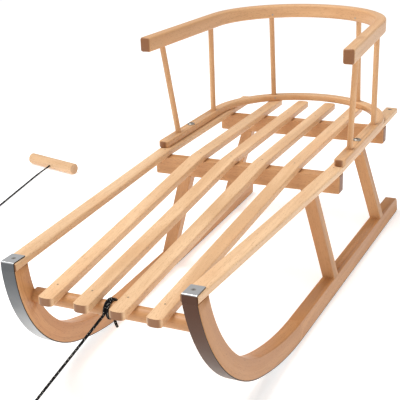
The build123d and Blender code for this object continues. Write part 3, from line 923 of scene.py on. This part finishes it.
    def build(self) -> None:
        cover = self.finish.material("rope_cover")
        line = self.line_through("rope_guide", self.route())
        rope = self.tube("pull_rope_braided", line)
        lashing = self.tube("lashing_turns", self.line_through("turns_guide", self.lashing_line()))
        end = Vector(self.handle_at) + self.through * self.knot_reach
        on_floor = Vector((self.handle_at[0], self.handle_at[1], self.radius_mm))
        floor_end = on_floor + self.away * self.end_tail
        sagging = end.lerp(floor_end, 0.45) + Vector((0, 0, -1.5))
        tail_line = [seat_point(*p) for p in (end, sagging, floor_end)]
        tail = self.tube("end_tail", self.line_through("end_tail_guide", tail_line))
        overhand_line = self.knot_line(seat_point(*end))
        overhand = self.tube("overhand", self.line_through("overhand_guide", overhand_line))
        knot = self.join_pieces("end_knot", [tail, overhand])
        nodes = ((rope, "pull_rope"), (lashing, "rope_lashing"), (knot, "rope_end_knot"))
        for piece, node in nodes:
            dress(piece, cover)
            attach(piece, "sled")
            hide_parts(node)
            LOG.info("%s: %d faces", piece.name, len(piece.data.polygons))
        handle = bpy.data.objects["pull_handle"]
        turn = math.radians(self.handle_turn)
        finish = Beech(
            grain=Grain.ACROSS, turn=-turn, shift=(3.1, 0.4, 0.2), knots=0.0, ends=0.3
        )
        dress(handle, finish.material("beech_handle"))
        LOG.info("rope: %.3f m", sum((b - a).length for a, b in zip(line, line[1:])))


@dataclass
class Runners:
    """The two bent runners, which lean inwards, and their steel strips."""

    foot: float = 155.0
    toe_out: float = 0.019
    lean: float = 15.0 / 212.5
    thick: float = 29.0
    wide: float = 22.0
    sole: float = 1.504
    top: float = 212.5
    sweep_radius: float = 570.0
    sweep_turn: float = 18.0
    tip_tilt: float = 9.0
    heel: float = 915.0
    nose: float = 15.0
    sweep_steps: int = 18
    curl_steps: int = 48
    tone: Colour = (0.54, 0.27, 0.11)
    # colours of the painted reflection on each strip's front face, at its top and at its bottom
    left_reflection: tuple[Colour, Colour] = ((0.10, 0.105, 0.11), (0.42, 0.43, 0.43))
    right_reflection: tuple[Colour, Colour] = ((0.085, 0.045, 0.032), (0.13, 0.09, 0.068))

    def middle_line(self, side: int) -> Bend:
        """The line along the middle of a runner.

        Args:
            side: 1 for the right runner and -1 for the left.

        Returns:
            The line, from the rear end to the tip.
        """
        turn, steep = math.radians(self.sweep_turn), math.radians(90 - self.tip_tilt)
        slant = math.sqrt(1 + self.lean**2)
        rise = self.top * slant - self.sole - self.sweep_radius * (1 - math.cos(turn))
        curl = rise / (math.cos(turn) - math.cos(steep))
        start = curl * (math.sin(steep) - math.sin(turn)) + self.sweep_radius * math.sin(turn)
        half = self.thick / 2
        flat = [(self.heel, self.sole + half), (start, self.sole + half)]
        centre, radius = (start, self.sole + self.sweep_radius), self.sweep_radius - half
        for i in range(1, self.sweep_steps + 1):
            angle = turn * i / self.sweep_steps
            y, z = radius * math.sin(angle), radius * math.cos(angle)
            flat.append((centre[0] - y, centre[1] - z))
        shift = self.sweep_radius - curl
        centre = (start - shift * math.sin(turn), centre[1] - shift * math.cos(turn))
        radius = curl - half
        for i in range(1, self.curl_steps + 1):
            angle = turn + (steep - turn) * i / self.curl_steps
            y, z = radius * math.sin(angle), radius * math.cos(angle)
            flat.append((centre[0] - y, centre[1] - z))
        tip = flat[-1]
        flat.append((tip[0] - self.nose * math.cos(steep), tip[1] + self.nose * math.sin(steep)))
        points = []
        for y, up in flat:
            z = up / slant
            x = self.foot + self.toe_out * y - self.lean * z - self.wide / 2
            points.append(seat_point(side * x, y, z))
        return Bend(np.array(points, float))

    def build(self) -> None:
        """Dress both runners, their strips and the strips' screws."""
        rows = ((-1, "left", self.left_reflection), (1, "right", self.right_reflection))
        for side, name, (reflection_top, reflection_bottom) in rows:
            line = self.middle_line(side)
            piece = line.copy_node(f"{name}_runner", "sled", "runner_wood")
            shift = (side * 2.3, 0.4, 0.7)
            finish = Beech(tone=self.tone, grain=Grain.BENT, shift=shift, length=line.length)
            dress(piece, finish.material(f"beech_{name}_runner"))
            # a strip with a painted reflection on its front face and painted shade on its cut
            # edges
            strip = Metal(reflection_top=reflection_top, reflection_bottom=reflection_bottom)
            dress_node(f"{name}_runner_shoe", strip, f"zinc_{name}_strip")
            LOG.info("%s runner: %.3f m along its middle", name, line.length)
        dress_node("shoe_screws", Metal((0.52, 0.50, 0.47), 0.36), "zinc_shoe_screws")


@dataclass
class Seat:
    """The slats, the bearers, the legs and the front crossbar."""

    splay: float = math.radians(14.8)
    slat_tone: Colour = (0.74, 0.485, 0.275)
    frame_tone: Colour = (0.54, 0.285, 0.125)

    def build(self) -> None:
        """Dress every board, each with its own stretch of grain."""
        inner = [f"inner_slat_{number}" for number in range(1, 5)]
        for i, name in enumerate(["left_outer_slat", *inner, "right_outer_slat"]):
            tone = tuple(c * k for c, k in zip(self.slat_tone, (1 + 0.015 * (i % 3 - 1),) * 3))
            finish = Beech(tone=tone, shift=(1.7 * i, 0.31 * i, 0.17 * i))
            dress_node(name, finish, f"beech_{name}")
        for i, name in enumerate(("front_bearer", "rear_bearer", "front_crossbar")):
            shift = (2.9 * i + 5, 0.2, 0.3 * i)
            finish = Beech(tone=self.frame_tone, grain=Grain.ACROSS, shift=shift)
            dress_node(name, finish, f"beech_{name}")
        for i, place in enumerate(("front", "rear")):
            for side, name in ((-1, "left"), (1, "right")):
                finish = Beech(
                    tone=self.frame_tone,
                    grain=Grain.UPRIGHT,
                    tilt=side * self.splay,
                    shift=(8.0 + 1.3 * i, side * 0.7, 0.9),
                )
                dress_node(f"{place}_{name}_leg", finish, f"beech_{place}_{name}_leg")
        dress_node("slat_screws", Metal((0.42, 0.34, 0.27), 0.38), "zinc_slat_screws")
        dress_node("slat_nails", Metal((0.33, 0.24, 0.17), 0.45), "nail_steel")
        nut = Metal((0.42, 0.41, 0.40), 0.4).material("zinc_nuts")
        for name in ("left", "right"):
            dress(bpy.data.objects[f"{name}_t_nut"], nut)


@dataclass
class Backrest:
    """The two bent rails, their spindles, brads and bolts."""

    radius: float = 160.0
    low: Point = (752.0, 507.0, 0.0)
    high: Point = (740.0, 490.0, 3.7)
    low_z: float = 230.0
    high_z: float = 409.5
    tone: Colour = (0.68, 0.405, 0.205)
    bend_steps: int = 96

    def rail_line(self, rail: Point, height: float) -> Bend:
        """The line along the middle of a rail.

        Args:
            rail: Its bend's middle, its tips' place along the sled and its arms' flare.
            height: Its middle's height.

        Returns:
            The line, from the left tip to the right one.
        """
        centre_y, tip_y, flare_degrees = rail
        flare = math.radians(flare_degrees)
        run = (centre_y + self.radius * math.sin(flare) - tip_y) / math.cos(flare)
        start_x = self.radius * math.cos(flare)
        points = [(-start_x - run * math.sin(flare), tip_y)]
        for i in range(self.bend_steps + 1):
            angle = math.pi - flare - (math.pi - 2 * flare) * i / self.bend_steps
            x, y = self.radius * math.cos(angle), self.radius * math.sin(angle)
            points.append((x, centre_y + y))
        points.append((start_x + run * math.sin(flare), tip_y))
        return Bend(np.array([seat_point(x, y, height) for x, y in points], float))

    def build(self) -> None:
        """Dress the backrest."""
        rails = (("lower", self.low, self.low_z), ("top", self.high, self.high_z))
        for name, rail, height in rails:
            line = self.rail_line(rail, height)
            piece = line.copy_node(f"backrest_{name}_rail", "backrest", "backrest_wood")
            shift = (4.0 + height / 50, 0.1, 0.5)
            finish = Beech(tone=self.tone, grain=Grain.BENT, length=line.length, shift=shift)
            dress(piece, finish.material(f"beech_{name}_rail"))
            LOG.info("%s rail: %.3f m along its middle", name, line.length)
        for i, side in enumerate(("left", "right")):
            for k, place in enumerate(("front", "middle", "back")):
                shift = (1.1 * k + 4.3 * i, 0.3, 0.2)
                finish = Beech(tone=self.tone, grain=Grain.UPRIGHT, shift=shift, knots=0.0)
                spindle = f"{side}_{place}_spindle"
                dress_node(spindle, finish, f"beech_{spindle}")
            plating = Metal((0.46, 0.42, 0.37), 0.30, 0.3)
            dress_node(f"{side}_backrest_bolt", plating, f"plated_{side}_bolt")
        dress_node("spindle_brads", Metal((0.45, 0.42, 0.38), 0.4), "brad_steel")


def main() -> None:
    """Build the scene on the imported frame."""
    logging.basicConfig(level=logging.INFO, format="%(name)s: %(message)s")
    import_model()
    Studio().build()
    PullRope().build()
    Runners().build()
    Seat().build()
    Backrest().build()


if __name__ == "__main__":
    main()
